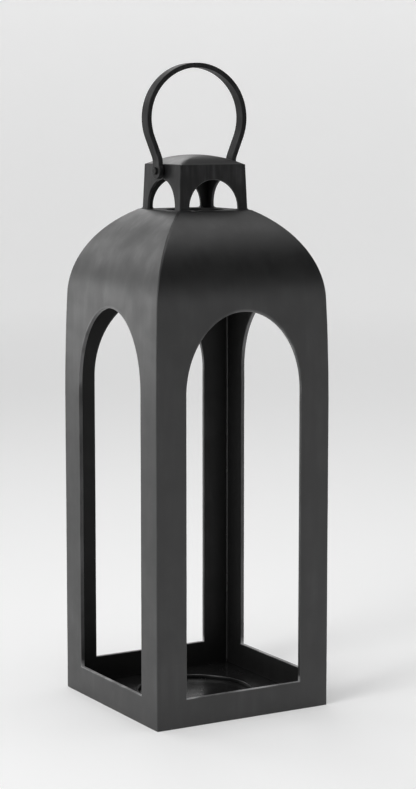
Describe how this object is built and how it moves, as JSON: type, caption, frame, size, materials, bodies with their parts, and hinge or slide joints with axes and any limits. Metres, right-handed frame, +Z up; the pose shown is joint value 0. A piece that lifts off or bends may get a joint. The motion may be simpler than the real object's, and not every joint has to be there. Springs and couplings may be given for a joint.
{
  "type": "candle lantern",
  "caption": "Square black metal candle lantern with round-headed openings, a domed top, an arched vent cupola and a swinging bail handle.",
  "frame": {"origin": "centre of the base, on the surface that the lantern stands on", "axes": "+Z up; the bail's two pivots lie along X; the four openings face -Y, +Y, -X and +X"},
  "size_m": [0.18, 0.18, 0.5922],
  "materials": {
    "body_black": "satin black coating over hand-finished cast aluminium",
    "floor_black": "semi-gloss black coating",
    "bail_black": "satin black coating over steel bar",
    "rivet_black": "satin black coating over steel"
  },
  "bodies": {
    "lantern": {"front_wall": "body_black", "back_wall": "body_black", "left_wall": "body_black", "right_wall": "body_black", "base_plate": "floor_black", "candle_ring": "floor_black", "dome_collar": "body_black", "cupola_front_wall": "body_black", "cupola_back_wall": "body_black", "cupola_left_wall": "body_black", "cupola_right_wall": "body_black", "cupola_roof": "body_black", "right_pivot_rivet": "rivet_black", "left_pivot_rivet": "rivet_black", "right_pivot_spacer": "rivet_black", "left_pivot_spacer": "rivet_black", "right_backing_washer": "rivet_black", "left_backing_washer": "rivet_black"},
    "bail": {"bail_handle": "bail_black"}
  },
  "joints": [
    {"name": "bail_swing", "type": "hinge", "parent": "lantern", "child": "bail", "pos_m": [0, 0, 0.4946], "axis": [1, 0, 0], "range_deg": [-124, 124]}
  ]
}
